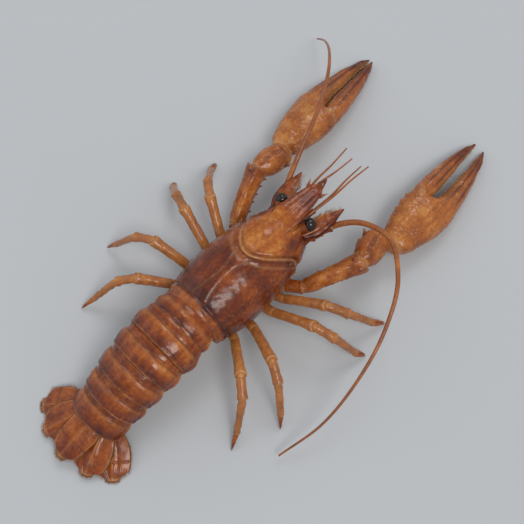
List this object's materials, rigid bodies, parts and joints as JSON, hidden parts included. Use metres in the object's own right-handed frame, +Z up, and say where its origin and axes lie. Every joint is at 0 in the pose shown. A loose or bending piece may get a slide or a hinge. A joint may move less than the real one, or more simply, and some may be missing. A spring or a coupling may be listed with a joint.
{
  "type": "crayfish",
  "caption": "Boiled narrow-clawed crayfish lying on its belly, with long claws stretched forward, splayed legs, feelers and a half curled tail with its fan spread.",
  "frame": {"origin": "middle of the footprint, on the surface that the crayfish lies on", "axes": "the head points along -Y, the animal's left side is +X, +Z is up"},
  "size_m": [0.1074, 0.1842, 0.0304],
  "materials": {
    "shell": "wet boiled shell, ochre brown over the head and darker maroon brown towards the tail",
    "claw": "wet boiled shell, orange brown, darker at the finger tips",
    "limb": "thin satin shell, tan orange with pale joints",
    "eye": "glossy black"
  },
  "bodies": {
    "root": {"carapace": "shell", "tail_segment_1": "shell", "tail_segment_2": "shell", "tail_segment_3": "shell", "tail_segment_4": "shell", "tail_segment_5": "shell", "tail_segment_6": "shell", "telson": "shell", "inner_paddle_left": "shell", "inner_paddle_right": "shell", "outer_paddle_left": "shell", "outer_paddle_right": "shell", "arm_left": "claw", "arm_right": "claw", "wrist_left": "claw", "wrist_right": "claw", "claw_left": "claw", "claw_right": "claw", "finger_left": "claw", "finger_right": "claw", "sternum": "limb", "leg_left_1": "limb", "leg_left_2": "limb", "leg_left_3": "limb", "leg_left_4": "limb", "leg_right_1": "limb", "leg_right_2": "limb", "leg_right_3": "limb", "leg_right_4": "limb", "antenna_left": "limb", "antenna_right": "limb", "antennule_left": "limb", "antennule_right": "limb", "antenna_scale_left": "limb", "antenna_scale_right": "limb", "jaw_leg_left": "limb", "jaw_leg_right": "limb", "eye_left": "eye", "eye_right": "eye"}
  },
  "joints": []
}
